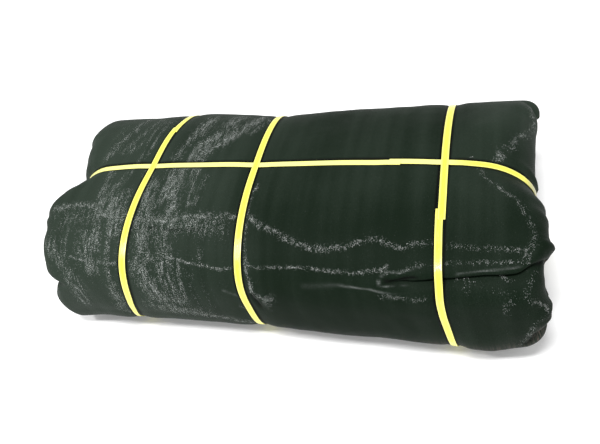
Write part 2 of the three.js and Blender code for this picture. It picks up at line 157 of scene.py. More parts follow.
# The ends, once round from the back over the top (90) to the front (180) and underneath (270):
# how far they reach along X, how round their edge is, where their wound faces lie beside the
# long strap, how far these swell to the front and back, and which noise they take
LEFT_END = {
    "turn": (0, 30, 53, 68, 79, 90, 97, 104, 114, 133, 150, 162, 170, 178, 195, 210, 230, 268, 300, 340),
    "reach": (
        -552, -552, -547, -540, -526, -508, -509, -519, -523, -508,
        -497, -491, -466, -496, -503, -498, -484, -490, -522, -546,
    ),
    "round": (40, 40, 40, 52, 80, 100, 78, 58, 44, 40, 40, 34, 26, 30, 36, 36, 38, 44, 40, 40),
    "mid": -507.0, "front": -14.0, "back": -34.0, "side": -1.0, "seed": 3.0,
}
RIGHT_END = {
    "turn": (
        0, 34, 48, 62, 76, 90, 99, 108, 118, 128, 134, 141,
        144.5, 148, 158, 169, 179, 189, 206, 224, 268, 320,
    ),
    "reach": (
        476, 488, 489, 493, 496, 494, 498, 509, 519, 521, 522, 527,
        520, 511, 521, 526, 512, 526, 524, 504, 478, 474,
    ),
    "round": (34, 30, 44, 66, 82, 94, 72, 54, 42, 36, 34, 30, 30, 34, 38, 38, 28, 32, 36, 38, 44, 40),
    "mid": 487.0, "front": 16.0, "back": -10.0, "side": 1.0, "seed": 11.0,
}
# Small notches and points of the ends' outlines
RIGHT_CRINKLE = {
    "turn": (
        0, 22, 30, 34, 39, 44, 50, 57, 66, 76, 81, 84, 90, 96, 105, 110, 114, 118, 124, 130,
        136, 144, 150, 155, 162, 168, 174, 182, 187, 191, 196, 202, 210, 240, 268, 320,
    ),
    "out": (
        0, 0, 5, 6, -9, -3, 3, -1, -4, -6, -3, 3, 0, 2, 5, -1, 0, -3, -3, -1,
        0, 2, -1, -6, -9, -4, 8, 13, -3, -16, -17, -9, -3, -2, 0, 0,
    ),
}
LEFT_CRINKLE = {
    "turn": (
        0, 40, 50, 63, 66, 69, 72, 75, 79, 82, 90, 97, 100, 103, 107, 112, 116, 121, 123, 128,
        133, 140, 150, 158, 162, 166, 174, 182, 186, 190, 200, 212, 268, 320,
    ),
    "out": (
        0, 0, -5, -6, -11, -12, -8, -3.5, 0, 3, 0, -2, -4, -2, -4, -3, -2, -6, -3.5, -7,
        -4, -1, 0, -1, -4, -6, -13, -13, -4, 1, 3, 0, 0, 0,
    ),
}
# How far the lower front is drawn in, and between which places round the bale
TUCK = {
    "at": (-560, -470, -400, -330, -270, -200, -130, -60, 300, 400, 440, 500, 560),
    "in": (0, 3, 6, 4, 4, 5, 2, 0, 0, -4, -1, 6, 4),
    "from": 120.0, "run": 30.0, "to": 180.0, "last": 12.0,
}
# Wound faces: broad steps from the rim to the middle, and fine turns two rows of points wide
LAYERS = {
    "share": (0.0, 0.1, 0.19, 0.28, 0.38, 0.48, 0.58, 0.69, 0.8, 0.9, 1.0),
    "out": (0, 0, -9, 3, -8, 4, -9, 3, -8, 2, -4),
}
LAYER_STEP = 1.3
LAYER_WAVER = (2.6, 1.6)
WAVER_ROUND = 2.2
WAVER_LAYER = 0.9
WAVER_FINER = 3.1
LOBES = 3.0
LOBES_TWIST = 70.0
LOBES_EVEN = 0.75
LAYERS_FROM = 0.18
LAYERS_RUN = 0.24
FACE_SINKS = 1.6
FACE_ROWS = 62
EDGE_ROWS = 11
BRIDGE_ROWS = 17
WAIST_FLAT = 17.0
WAIST_FADE = 45.0
# The dart at the right front: stations, the place round the bale of its edge there, and the
# section across it: how far it stands out, how far it laps down, and the line of a taut strap
DART_AT = (205, 237, 266, 333, 411, 470, 492, 515)
DART_TURN = (152.6, 150, 147.4, 144.2, 141.6, 140.4, 136.4, 133.5)
DART_HOME = 146.0
DART_PULL = 26.0
DART_OPENS = 110.0
FOLD_FADE = 60.0
DART_STEP = (-15, -8, -3, -0.9, 0.1, 0.5, 0.9, 1.6, 2.8, 4.2, 7.5, 14, 22)
DART_OUT = (0, 3.5, 6, 5.6, 3.6, 0.8, -5, -9, -9, -5, 0, 2.5, 0)
DART_LAP = (0, 0, 1.5, 4.5, 6.0, 5.4, 2.0, -3.0, -3.0, -0.5, 0, 0, 0)
DART_TAUT_STEP = (-15, -8, -3, 0.4, 3.2, 7.5, 14, 22)
DART_TAUT = (0, 4, 6.4, 5.9, 5.2, 4.2, 3, 0)
# Distance between points round the bale, and along it beside a strap, near one, at the dart's
# pocket and elsewhere
CLOTH_STEP = 4.7
BODY = (-333.0, 372.0)
BESIDE, BESIDE_STEP = 17.0, 1.7
NEAR, NEAR_STEP = 32.0, 3.2
POCKET = (232.0, 262.0)
POCKET_STEP = 2.4
BODY_STEP = 5.6
# More points where the cloth turns sharply: how many more, where and how wide
DART_CROWD = ((2.6, 0.6, 2.2), (1.3, 2.0, 8.0))
LONG_CROWD = (0.9, 11.0, 5.0)
BACK_CROWD = (-0.28, 72.0, 15.0)
FLAT_SHARE = 0.55
FLAT_CLEAR = 26.0
FLAT_EVERY = 4


def ease(w):
    w = np.clip(w, 0.0, 1.0)
    return w * w * (3.0 - 2.0 * w)


def through(places, values, at):
    """A smooth curve through a table's rows."""
    p, v = np.asarray(places, float), np.asarray(values, float)
    at = np.clip(at, p[0], p[-1])
    i = np.clip(np.searchsorted(p, at, side="right") - 1, 0, len(p) - 2)
    before, after = np.maximum(np.arange(len(p)) - 1, 0), np.minimum(np.arange(len(p)) + 1, len(p) - 1)
    slope = (v[after] - v[before]) / (p[after] - p[before])
    run = p[i + 1] - p[i]
    w = (at - p[i]) / run
    return (
        (2 * w**3 - 3 * w**2 + 1) * v[i] + (w**3 - 2 * w**2 + w) * run * slope[i]
        + (3 * w**2 - 2 * w**3) * v[i + 1] + (w**3 - w**2) * run * slope[i + 1]
    )


def round_table(end, key, turn):
    """The same for a table that goes once round the bale."""
    turns = np.asarray(end["turn"], float)
    values = np.asarray(end[key], float)
    whole = np.concatenate([turns - 360, turns, turns + 360])
    return through(whole, np.tile(values, 3), np.mod(turn, 360.0))


def share_at(turn):
    lean = np.abs(np.tan(np.radians(turn))) ** CROWN
    return np.sign(np.cos(np.radians(turn))) / (1.0 + lean) ** (1.0 / CROWN)


def fall_at(share, power):
    return np.clip(1.0 - np.abs(share) ** power, 0.0, 1.0) ** (1.0 / power)


def strap_table(values, x):
    return through((STRAPS_END[0], *GIRTH_AT, STRAPS_END[1]), (0.0, *values, 0.0), x)


def girth_reach(x):
    return np.min([np.abs(x - at) for at in GIRTH_AT], axis=0)


def foot_step(x, y, z):
    """How far the foot of the nearest girth strap, and the cloth with it, steps aside."""
    return strap_table(GIRTH_FOOT, x) * ease((FOOT_TOP - z) / FOOT_RUN) * ease((LONG_Y - y) / FOOT_RUN)


def skin(home, upper, x, inset, taut=False, loose=1.0):
    """Places on the outermost turn: home is the place round the bale in degrees, x the station."""
    way = through(DART_AT, DART_TURN, x) - DART_HOME
    pull = np.clip(1.0 - ((home - DART_HOME) / DART_PULL) ** 2, 0.0, 1.0) ** 2
    opening = ease((x - DART_AT[0]) / DART_OPENS)
    pulled = way * pull * ease((x - DART_AT[0]) / DART_OPENS + 1.0) * loose
    turn = home + np.where(upper, pulled, 0.0)
    share = share_at(turn)
    fade = np.clip(1.0 - inset / FOLD_FADE, 0.0, 1.0)
    to_back = through(BARREL["at"], BARREL["back"], x)
    reach = np.where(share > 0, to_back, through(BARREL["at"], BARREL["front"], x))
    high = through(BARREL["at"], BARREL["top"], x) - MID_Z
    past = np.maximum(0.0, girth_reach(x) - (DENT_TAUT if taut else DENT_FLAT)) / DENT_FADE
    drawn = inset + DENT_DEEP * np.exp(-past * past)
    ripple = np.sin(x / RIPPLE["short"] + turn / RIPPLE["turn"])
    drawn = drawn + RIPPLE["deep"] * ripple * np.sin(x / RIPPLE["long"] - turn / RIPPLE["turn_back"])
    step = home - DART_HOME
    out = through(DART_TAUT_STEP, DART_TAUT, step) if taut else through(DART_STEP, DART_OUT, step)
    drawn = drawn - np.where(upper, out * opening * fade, 0.0)
    tuck = through(TUCK["at"], TUCK["in"], x) * ease((home - TUCK["from"]) / TUCK["run"])
    drawn = drawn + np.where(upper, 0.0, tuck * ease((TUCK["to"] - home) / TUCK["last"]))
    y = MID_Y + share * (reach - drawn * np.abs(share))
    aside = np.abs(y - LONG_Y)
    valley = through(VALLEY["at"], VALLEY["deep"], x) * np.exp(-((aside / VALLEY_WIDE) ** 2))
    furrow = 0.0 if taut else LONG_FURROW * (1.0 - ease((aside - DENT_FLAT) / FURROW_FADE)) * fade
    z_up = MID_Z + (high - valley) * fall_at(share, CROWN) * (1.0 - drawn / high) - furrow
    low = MID_Z + SAG
    in_girth = 1.0 - ease((girth_reach(x) - DENT_FLAT) / UNDER_FADE)
    in_long = 0.0 if taut else 1.0 - ease((aside - DENT_FLAT) / UNDER_FADE)
    bare = np.maximum(UNDER_GIRTH * in_girth, UNDER_LONG * in_long)
    belly = BELLY + BELLY_LEFT["more"] * ease((BELLY_LEFT["from"] - x) / BELLY_LEFT["run"])
    z_down = np.maximum(bare, MID_Z - low * fall_at(share, belly) * (1.0 - drawn / low))
    z = np.where(upper, z_up, z_down)
    lap = 0.0 if taut else np.where(upper, through(DART_STEP, DART_LAP, step), 0.0) * opening * fade
    y = y - lap * np.abs(np.sin(np.radians(turn)))
    z = z - lap * np.abs(np.cos(np.radians(turn)))
    return x + strap_table(GIRTH_LEAN, x) * (y - LONG_Y) + foot_step(x, y, z), y, z


def turn_in_table(home, upper):
    """Place round the bale by which the tables of the ends are read."""
    top, underside, strap_flat, strap_fade = 90.0, 268.0, 10.0, 20.0
    share = share_at(home)
    y = MID_Y + share * np.where(share > 0, HALF_BACK, HALF_FRONT)
    turn = np.where(upper, home, 360.0 - np.degrees(np.arctan2(fall_at(share, BELLY), share)))
    clear = ease((np.abs(y - LONG_Y) - strap_flat) / strap_fade)
    return np.where(upper, top, underside) * (1.0 - clear) + turn * clear


def even_homes():
    """Places round the upper half, evenly apart but closer along the dart and the long strap."""
    fine = np.linspace(0.0, 180.0, 7201)
    share = share_at(fine)
    half = np.where(share > 0, HALF_BACK, HALF_FRONT)
    y, z = share * half, MID_Z * fall_at(share, CROWN)
    step = np.hypot(np.diff(y), np.diff(z))
    middle = 0.5 * (fine[1:] + fine[:-1])
    middle_y = MID_Y + 0.5 * (y[1:] + y[:-1])
    crowd = np.ones(len(middle))
    for more, at, wide in DART_CROWD:
        crowd += more * np.exp(-((middle - DART_HOME - at) / wide) ** 2)
    more, at, wide = LONG_CROWD
    crowd += more * np.exp(-((np.abs(middle_y - LONG_Y) - at) / wide) ** 2)
    more, at, wide = BACK_CROWD
    crowd += more * ease((at - middle) / wide)
    sums = np.concatenate([[0.0], np.cumsum(step * crowd)])
    count = int(round(sums[-1] / CLOTH_STEP))
    homes = np.interp(np.linspace(0.0, sums[-1], count + 1), sums, fine)
    homes[0], homes[-1] = 0.0, 180.0
    centre = int(np.argmin(np.abs(homes - 90.0)))
    homes[centre] = 90.0
    return homes, centre


def underneath(homes):
    """The same places on the lower half, only some of them where it lies flat."""
    share = share_at(homes)
    flat = np.abs(MID_Y + share * HALF_BACK - LONG_Y) > FLAT_CLEAR
    flat = flat & (np.abs(share) < FLAT_SHARE)
    return homes[~flat | (np.arange(len(homes)) % FLAT_EVERY == 0)]


upper_homes, centre = even_homes()
lower_back = underneath(upper_homes[centre:0:-1])
lower_front = underneath(upper_homes[-2:centre - 1:-1])
home_row = np.concatenate([lower_back, upper_homes, lower_front])
columns = len(home_row)
top_column = len(lower_back)
is_upper = np.zeros(columns, bool)
is_upper[top_column:top_column + len(upper_homes)] = True
table_turn = turn_in_table(home_row, is_upper)
# The column of the lower half that each column meets in the middle of an end
lower_half = np.flatnonzero(~is_upper)
below = lower_half[np.argmin(np.abs(home_row[:, None] - home_row[lower_half]), axis=1)]


def face_relief(end, share):
    """Edges of the wound turns: broad lobes with fine layers, each a little out of line."""
    broad = float(through(LAYERS["share"], LAYERS["out"], share))
    layer = int(round(share * FACE_ROWS))
    fine = np.empty(columns)
    for c in range(columns):
        angle = math.radians(table_turn[c])
        deep = WAVER_LAYER * (layer // 2) + end["seed"]
        place = Vector((WAVER_ROUND * math.cos(angle), WAVER_ROUND * math.sin(angle), deep))
        finer = noise.noise(place * WAVER_FINER)
        fine[c] = LAYER_WAVER[0] * noise.noise(place) + LAYER_WAVER[1] * finer
    wave = np.sin(np.radians(LOBES * table_turn + LOBES_TWIST * share))
    wave = LOBES_EVEN + (1.0 - LOBES_EVEN) * wave
    edge = LAYER_STEP if layer % 2 else -LAYER_STEP
    return broad * wave + (fine + edge) * float(ease((share - LAYERS_FROM) / LAYERS_RUN))


def end_rows(end, crinkle, start):
    """Rows from the last station to the middle of an end: bridge, rounded edge, wound face."""
    side = end["side"]
    reach = round_table(end, "reach", table_turn) + side * round_table(crinkle, "out", table_turn)
    rounding = round_table(end, "round", table_turn)
    rows = []
    for w in np.linspace(0.0, 1.0, BRIDGE_ROWS + 1)[1:]:
        x = start + (reach - side * rounding - start) * w
        rows.append(skin(home_row, is_upper, x, np.zeros(columns)))
    for angle in np.radians(np.linspace(0.0, 90.0, EDGE_ROWS + 1)[1:]):
        x = reach - side * rounding * (1.0 - math.sin(angle))
        rows.append(skin(home_row, is_upper, x, rounding * (1.0 - math.cos(angle))))
    for share in np.linspace(0.0, 1.0, FACE_ROWS + 1)[1:]:
        inset = rounding + (MID_Z - rounding) * share
        x, y, z = skin(home_row, is_upper, reach, inset, loose=1.0 - ease(share))
        away = np.maximum(0.0, np.abs(y - LONG_Y) - WAIST_FLAT) / WAIST_FADE
        swell = 1.0 - np.exp(-away * away)
        mid = end["mid"] + np.where(y > LONG_Y, end["back"], end["front"]) * swell
        inward = ease(share * FACE_SINKS)
        x = reach * (1.0 - inward) + mid * inward + side * face_relief(end, share) * swell
        rows.append((x, y, z))
    rows[-1] = x[below], y[below], np.full(columns, MID_Z)
    return rows


stations = [BODY[0]]
while stations[-1] < BODY[1]:
    near = float(girth_reach(stations[-1]))
    run = NEAR_STEP if near < NEAR else BODY_STEP
    if POCKET[0] < stations[-1] < POCKET[1]:
        run = POCKET_STEP
    if near < BESIDE:
        run = BESIDE_STEP
    stations.append(min(BODY[1], stations[-1] + run))
body_rows = [skin(home_row, is_upper, np.full(columns, x), np.zeros(columns)) for x in stations]
left_rows = end_rows(LEFT_END, LEFT_CRINKLE, stations[0])[::-1]
right_rows = end_rows(RIGHT_END, RIGHT_CRINKLE, stations[-1])
all_rows = left_rows + body_rows + right_rows
points = np.array(all_rows).transpose(0, 2, 1)
row_count = len(points)

# Arc lengths along and round the skin, in mm, which the weave follows
along = np.zeros((row_count, columns))
along[1:] = np.cumsum(np.linalg.norm(np.diff(points, axis=0), axis=2), axis=0)
middle_row = len(left_rows) + len(body_rows) // 2
along = along - along[middle_row:middle_row + 1]
girth_steps = np.linalg.norm(np.diff(points[middle_row], axis=0), axis=1)
around = np.broadcast_to(np.concatenate([[0.0], np.cumsum(girth_steps)]), (row_count, columns))

# Lines in the cloth by their kind: how strong, how wide, and the places they run through
CLOTH_LINES = {
    # shining tapes
    "glint": (
        (0.8, 8, ((-481, -136, 255), (-448, -128, 258), (-409, -126, 259), (-389, -129, 260),
            (-346, -154, 256), (-302, -157, 251), (-248, -160, 254), (-201, -163, 253), (-140, -154, 256),
            (-56, -150, 252))),
        (0.75, 6, ((-56, -150, 252), (-17, -153, 252), (0, -168, 250), (21, -174, 248), (47, -186, 244),
            (70, -195, 241), (90, -203, 237), (109, -208, 235), (135, -209, 235), (158, -206, 237))),
        (0.65, 5, ((158, -206, 237), (176, -204, 238), (198, -195, 242), (220, -190, 244),
            (237, -189, 244), (253, -198, 240), (275, -203, 239), (292, -198, 242), (328, -193, 240))),
        (0.42, 5.5, ((328, -193, 240), (354, -197, 239), (400, -203, 242), (477, -203, 242),
            (486, -205, 242), (499, -195, 241), (526, -162, 210))),
        (0.6, 3.5, ((256, -241, 216), (278, -243, 218), (305, -233, 227), (331, -230, 226),
            (356, -229, 228), (414, -226, 234), (474, -223, 234), (487, -222, 234))),
        (0.5, 4, ((243, -267, 181), (274, -268, 182), (302, -272, 182), (318, -271, 183),
            (335, -264, 187))),
        (0.5, 7, ((377, -240, 207), (393, -244, 205), (405, -248, 201), (388, -256, 198))),
        (0.3, 4, ((350, -248, 194), (399, -248, 201), (418, -247, 202), (437, -259, 197),
            (469, -260, 196))),
        (0.5, 4, ((-45, -261, 116), (-27, -261, 116))),
        (0.6, 8, ((3, -264, 156), (15, -266, 150), (31, -265, 160), (14, -267, 138))),
        (0.8, 7, ((-235, -269, 147), (-223, -270, 132), (-202, -270, 114), (-172, -269, 97),
            (-141, -267, 87), (-102, -266, 82), (-71, -263, 75), (-45, -255, 64))),
        (0.5, 5, ((-488, -201, 227), (-471, -223, 221), (-451, -237, 212), (-441, -248, 200))),
    ),
    # shining tapes that also stand up
    "ridge": (
        (0.75, 3.4, ((-412, -234, 217), (-385, -239, 214), (-352, -241, 213), (-322, -244, 209),
            (-278, -238, 209), (-229, -234, 217), (-197, -231, 219), (-168, -231, 219), (-134, -237, 213),
            (-87, -240, 208), (-65, -242, 204), (-42, -235, 204), (-26, -231, 208), (5, -237, 209),
            (54, -237, 212), (84, -237, 214), (103, -238, 214), (135, -240, 213), (169, -242, 212),
            (192, -243, 212), (217, -241, 214), (245, -238, 217), (255, -233, 222))),
        (0.8, 3, ((518, -259, 147), (508, -271, 146), (499, -276, 136), (490, -271, 97), (476, -271, 75))),
        (0.9, 3.2, ((493, -264, 185), (507, -259, 173), (517, -254, 158))),
        (0.6, 4, ((448, -235, 212), (453, -242, 212), (466, -244, 203), (463, -262, 194), (464, -270, 185),
            (453, -273, 179), (455, -276, 162))),
        (0.7, 4, ((498, -226, 210), (490, -242, 208), (488, -257, 200), (490, -267, 190), (501, -266, 184),
            (517, -260, 168), (520, -255, 151), (505, -267, 132), (496, -274, 125), (487, -277, 101),
            (473, -274, 70))),
        (0.55, 4.6, ((381, 5, 265), (397, -22, 263), (406, -44, 265), (428, -69, 265), (445, -88, 265),
            (463, -107, 263), (481, -126, 260), (477, -132, 260), (490, -151, 255), (498, -172, 250),
            (494, -191, 246), (486, -205, 242), (486, -221, 235))),
        (0.8, 5, ((480, 218, 219), (474, 189, 233), (476, 175, 234), (482, 161, 229), (487, 154, 219),
            (481, 118, 231), (474, 98, 239), (466, 90, 246), (458, 78, 250), (455, 62, 252),
            (451, 50, 251), (435, 36, 256), (431, 23, 255), (425, 3, 252))),
        (1, 4.5, ((-28, -71, 263), (-33, -98, 260), (-33, -126, 256), (-29, -152, 250), (-24, -191, 236),
            (-18, -229, 212), (-12, -247, 195), (-8, -259, 172), (-7, -262, 152))),
    ),
    # the edge of a fold, raised, with a painted highlight along it
    "crest": (
        (0.75, 1.4, ((340, -237, 210), (356, -241, 213), (381, -244, 224), (415, -239, 226),
            (443, -236, 228), (472, -231, 230), (490, -222, 223), (504, -207, 227), (515, -168, 196),
            (525, -158, 193))),
        (0.85, 1.3, ((310, -236, 226), (278, -243, 218), (256, -241, 216), (245, -246, 210),
            (240, -253, 203), (242, -258, 197), (252, -257, 196), (273, -254, 196), (289, -254, 199),
            (311, -248, 195))),
        (0.1, 5, ((100, -259, 188), (134, -259, 191), (152, -258, 193))),
        (0.22, 3, ((140, -258, 192), (160, -258, 194), (176, -258, 194))),
        (0.45, 2, ((166, -258, 194), (180, -259, 193), (194, -260, 193))),
        (0.8, 1.5, ((188, -259, 193), (202, -260, 192), (224, -261, 191), (241, -263, 188),
            (265, -264, 186))),
        (0.45, 1.8, ((265, -264, 186), (296, -263, 189), (318, -263, 189))),
        (0.7, 2, ((-66, -261, 166), (-46, -260, 154), (-34, -260, 148))),
        (0.5, 2, ((-6, -263, 152), (8, -265, 154), (21, -266, 151))),
    ),
    # a line that sinks in, with painted shade along it
    "groove": (
        (1, 3, ((262, -254, 205), (284, -251, 212), (301, -250, 215), (334, -242, 207), (355, -239, 207),
            (404, -235, 208), (453, -232, 212), (488, -227, 210), (497, -216, 215), (507, -204, 215))),
        (0.8, 5, ((254, -252, 205), (268, -255, 205), (279, -255, 208), (291, -249, 210))),
        (1.6, 3.2, ((522, -246, 134), (515, -264, 133), (504, -264, 108), (495, -267, 85),
            (483, -270, 72))),
        (0.5, 1.6, ((-280, -173, 246), (-224, -179, 248), (-189, -182, 246), (-150, -181, 247),
            (-114, -182, 246))),
        (2.6, 5.5, ((-10, -260, 154), (-6, -261, 145), (-3, -262, 137), (0, -263, 126))),
    ),
    # thin worn streaks, where more tapes take painted glints
    "rubbed_glints": (
        (0.7, 9, ((-323, 168, 248), (-325, 82, 263), (-328, 37, 266), (-339, -7, 263), (-344, -46, 266),
            (-357, -86, 265), (-370, -114, 262), (-372, -140, 258), (-363, -175, 250), (-353, -206, 237))),
        (0.6, 10, ((-338, 169, 249), (-343, 135, 258), (-344, 97, 264), (-350, 65, 266), (-375, 46, 265))),
        (0.6, 10, ((-222, 183, 245), (-228, 140, 257), (-235, 98, 262), (-244, 57, 267), (-250, 13, 267))),
        (0.9, 15, ((-89, 169, 244), (-121, 133, 256), (-151, 87, 264), (-175, 75, 265), (-202, 60, 266),
            (-209, 17, 267), (-218, -32, 267), (-217, -67, 266), (-237, -95, 265), (-244, -129, 261),
            (-250, -152, 256))),
        (0.8, 13, ((-104, 182, 241), (-126, 105, 261), (-183, 46, 266), (-186, 0, 265), (-189, -67, 266),
            (-197, -102, 264), (-198, -128, 261), (-203, -155, 255))),
        (0.7, 10, ((-318, -86, 264), (-316, -114, 262), (-314, -143, 257), (-300, -165, 248))),
        (0.7, 12, ((-253, -188, 244), (-245, -211, 233), (-249, -233, 218), (-252, -252, 197),
            (-258, -261, 178), (-254, -267, 160))),
        (0.7, 11, ((-224, -194, 242), (-206, -210, 234), (-198, -229, 221), (-204, -245, 205))),
        (0.6, 10, ((-193, -189, 244), (-183, -212, 232), (-183, -230, 220))),
        (0.7, 12, ((-169, -234, 217), (-159, -249, 200), (-156, -262, 176), (-162, -269, 137))),
        (0.7, 14, ((-246, -260, 183), (-238, -269, 153), (-223, -270, 133), (-210, -270, 108))),
        (0.6, 13, ((-378, -202, 239), (-368, -220, 229), (-367, -237, 216), (-359, -243, 211))),
        (0.6, 9, ((-382, -140, 258), (-358, -178, 249), (-345, -206, 237), (-351, -243, 211),
            (-343, -257, 193))),
        (0.6, 10, ((-419, -264, 173), (-414, -269, 148), (-414, -269, 115))),
        (0.6, 9, ((-322, -242, 212), (-316, -262, 180), (-316, -269, 137), (-320, -268, 97))),
        (0.4, 9, ((-112, -216, 229), (-123, -243, 207), (-127, -256, 187))),
        (0.6, 9, ((-331, -150, 257), (-323, -185, 246), (-322, -216, 232), (-313, -235, 216))),
        (0.4, 20, ((-330, -165, 252), (-250, -168, 250), (-180, -170, 250), (-70, -176, 248))),
        (0.3, 60, ((-420, -215, 230), (-300, -235, 205), (-220, -240, 190), (-160, -262, 150))),
    ),
    # worn patches, where more tapes take painted glints
    "scuffed_glints": (
        (0.85, 13, ((-366, -104, 264), (-344, -145, 258), (-324, -171, 251))),
        (0.95, 14, ((-340, -100, 264), (-326, -140, 259), (-317, -189, 244))),
        (0.8, 9, ((-391, -23, 261), (-380, -100, 263), (-362, -164, 253), (-347, -224, 227))),
        (0.85, 17, ((-371, -202, 239), (-367, -227, 224), (-357, -249, 204))),
        (0.75, 17, ((-415, -261, 182), (-407, -268, 156), (-412, -269, 114))),
        (0.6, 16, ((-467, -213, 229), (-452, -231, 217), (-435, -242, 208))),
        (0.35, 24, ((-455, -161, 251), (-417, -159, 252), (-384, -155, 255))),
        (0.6, 15, ((-318, -268, 162), (-318, -270, 132), (-321, -267, 85))),
        (0.8, 19, ((-269, -72, 264), (-261, -125, 260), (-249, -183, 246))),
        (0.9, 11, ((-295, -17, 260), (-283, -81, 261), (-272, -131, 257))),
        (0.8, 16, ((-230, -17, 265), (-231, -69, 266), (-225, -108, 263))),
        (0.8, 15, ((-199, -114, 263), (-196, -151, 256), (-189, -186, 245))),
        (0.75, 6, ((-176, 2, 265), (-172, -70, 267), (-163, -126, 261))),
        (0.65, 6, ((-149, -45, 267), (-149, -92, 266), (-147, -123, 262))),
        (0.6, 24, ((-298, -157, 251), (-236, -168, 251), (-166, -169, 251), (-102, -169, 251))),
        (0.75, 18, ((-253, -188, 244), (-246, -214, 232), (-239, -231, 220))),
        (0.6, 13, ((-193, -209, 234), (-193, -221, 226), (-186, -234, 216))),
        (0.9, 20, ((-249, -247, 204), (-231, -263, 175), (-207, -270, 136))),
        (0.85, 17, ((-198, -245, 206), (-185, -262, 177), (-176, -270, 133))),
        (0.6, 17, ((-249, -270, 115), (-208, -269, 101), (-127, -267, 90))),
        (0.9, 17, ((-222, 180, 246), (-223, 136, 258), (-225, 104, 263))),
        (0.85, 19, ((-158, 181, 243), (-164, 125, 258), (-179, 76, 265))),
        (0.95, 14, ((-104, 182, 241), (-126, 105, 261), (-152, 60, 266), (-181, 33, 267))),
        (0.8, 9, ((-235, 84, 265), (-239, 40, 267), (-241, 13, 267))),
        (0.75, 10, ((-167, 46, 266), (-183, 16, 267), (-198, -11, 264))),
        (0.85, 13, ((-214, -18, 265), (-212, -68, 266), (-205, -108, 263))),
        (0.5, 9, ((-71, 188, 232), (-86, 136, 253), (-99, 96, 262))),
        (0.75, 9, ((-407, 196, 236), (-404, 129, 258), (-418, 79, 263), (-430, 20, 262))),
        (0.3, 8, ((-440, 150, 252), (-436, 104, 261), (-433, 45, 262))),
        (0.55, 8, ((-357, 187, 242), (-372, 105, 263), (-395, 40, 266))),
    ),
    # places where the undersides of the layers show
    "brown": (
        (1, 16, ((512, -258, 117), (507, -257, 88), (500, -258, 70))),
        (0.65, 20, ((300, -270, 40), (390, -275, 48), (470, -268, 55))),
        (0.35, 10, ((-520, -150, 215), (-512, -200, 190), (-498, -236, 150), (-492, -250, 110))),
    ),
}
RIDGE_HIGH = 1.5
GROOVE_DEEP = 2.2
LINE_ENDS_AT = 3.0
LINE_STEP = 3.0
FAR_AWAY = 1e3
# Soft waves of the cloth: how high, and how far apart
WAVES = ((2.4, 95.0), (0.7, 31.0))
WAVES_CLEAR = 0.4
WAVES_FADE = 6.0
WAVES_LOW = 12.0
# Rows at the middle of an end over which they die out
CORE_ROWS = 12.0
# Painted shade in the corner beside a strap: distance from its middle, and width
BESIDE_GIRTH = (8.9, 2.5)
BESIDE_LONG = (9.1, 2.8)
# Paler and darker parts, painted light and shade as the light falls: paler towards the left end and at the
# back of the right end, darker on the front right of the middle, and paler low at the right end. Each: how
# much, and along which axis from where it grows over what run
PAINTED_LIGHT_PARTS = (
    (0.35, ((0, -10.0, -300.0),)),
    (-0.24, ((1, -60.0, -130.0), (0, -60.0, 120.0))),
    (0.34, ((0, 330.0, 110.0), (1, 30.0, 120.0))),
    (0.22, ((2, 150.0, -90.0), (0, 200.0, 200.0))),
)


def distance_to(places, reach):
    """Distance of every point of the netting from a line, and far away beyond reach."""
    line = np.array(places, float)
    legs = np.concatenate([[0.0], np.cumsum(np.linalg.norm(np.diff(line, axis=0), axis=1))])
    stops = np.linspace(0.0, legs[-1], int(legs[-1] / LINE_STEP) + 2)
    fine = np.stack([np.interp(stops, legs, line[:, k]) for k in range(3)], axis=1)
    far = np.full((row_count, columns), FAR_AWAY)
    inside = (points > fine.min(axis=0) - reach) & (points < fine.max(axis=0) + reach)
    inside = np.all(inside, axis=2)
    picked = points[inside]
    far[inside] = np.sqrt(((picked[:, None, :] - fine[None]) ** 2).sum(axis=2)).min(axis=1)
    return far


painted_values = {
    name: np.zeros((row_count, columns))
    for name in ("glint", "rubbed_glints", "scuffed_glints", "shade", "crest", "brown")
}
painted_by = {"ridge": "glint", "groove": "shade"}
raised_by = {"ridge": RIDGE_HIGH, "crest": RIDGE_HIGH, "groove": -GROOVE_DEEP}
rise = np.zeros((row_count, columns))
for kind, lines in CLOTH_LINES.items():
    name = painted_by.get(kind, kind)
    for strength, wide, places in lines:
        line = np.exp(-(distance_to(places, LINE_ENDS_AT * wide) / wide) ** 2)
        painted_values[name] = np.maximum(painted_values[name], min(1.0, strength) * line)
        rise = rise + raised_by.get(kind, 0.0) * strength * line

# Soft unevenness of the wound cloth, none of it under a strap
x, y, z = points[..., 0], points[..., 1], points[..., 2]
to_girth = girth_reach(x - strap_table(GIRTH_LEAN, x) * (y - LONG_Y) - foot_step(x, y, z))
to_long = np.abs(y - LONG_Y)
free = ease((np.minimum(to_girth, to_long) - DENT_FLAT - WAVES_CLEAR) / WAVES_FADE) * ease(z / WAVES_LOW)
for r in range(row_count):
    for c in range(columns):
        if free[r, c] > 0.0:
            place = Vector(points[r, c])
            rise[r, c] += sum(high * noise.noise(place / apart) for high, apart in WAVES)
rise = rise * free
by_row = np.gradient(points, axis=0)
by_column = np.gradient(points, axis=1)
normal = np.cross(by_column, by_row)
normal = normal / np.maximum(1e-6, np.linalg.norm(normal, axis=2, keepdims=True))
normal = normal * np.sign(normal[middle_row, top_column + len(upper_homes) // 2, 2])
edge = np.minimum(1.0, np.minimum(np.arange(row_count), np.arange(row_count)[::-1]) / CORE_ROWS)
points = points + normal * (rise * edge[:, None])[..., None]
points[:, -1] = points[:, 0]
